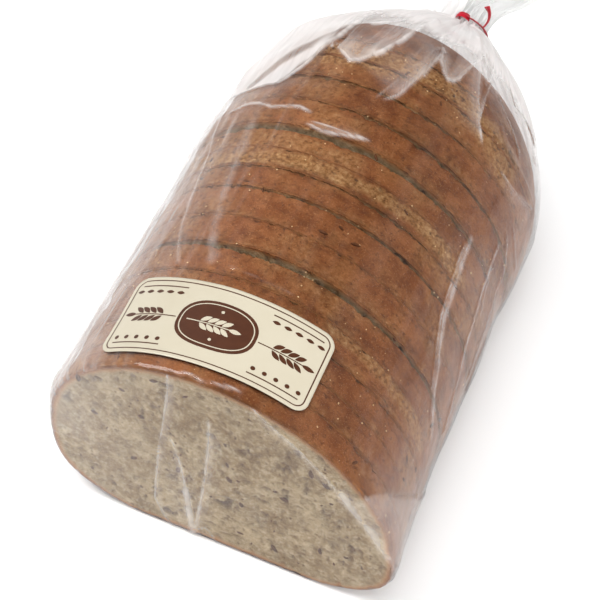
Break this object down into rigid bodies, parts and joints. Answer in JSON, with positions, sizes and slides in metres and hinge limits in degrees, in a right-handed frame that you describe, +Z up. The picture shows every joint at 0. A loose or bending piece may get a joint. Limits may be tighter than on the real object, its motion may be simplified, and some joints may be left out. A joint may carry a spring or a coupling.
{
  "type": "sliced rye half loaf in clear bread bag",
  "caption": "Half of a sliced rye loaf, cut face to the front, lying on its flat base in a clear bread bag that is gathered behind it, closed with a twist tie and flared out in a tail.",
  "frame": {"origin": "the middle of the flat base under the loaf, between its cut face and its rounded heel", "axes": "+Y runs along the loaf from the cut face towards the gathered neck, +Z is up, and +X is to the right as seen from the cut face"},
  "size_m": [0.1404, 0.3037, 0.089],
  "materials": {
    "bag": "clear film over matte brown crust",
    "label": "satin",
    "twist_tie": "satin"
  },
  "bodies": {
    "root": {"bag": "bag", "label": "label", "twist_tie": "twist_tie"}
  },
  "joints": []
}
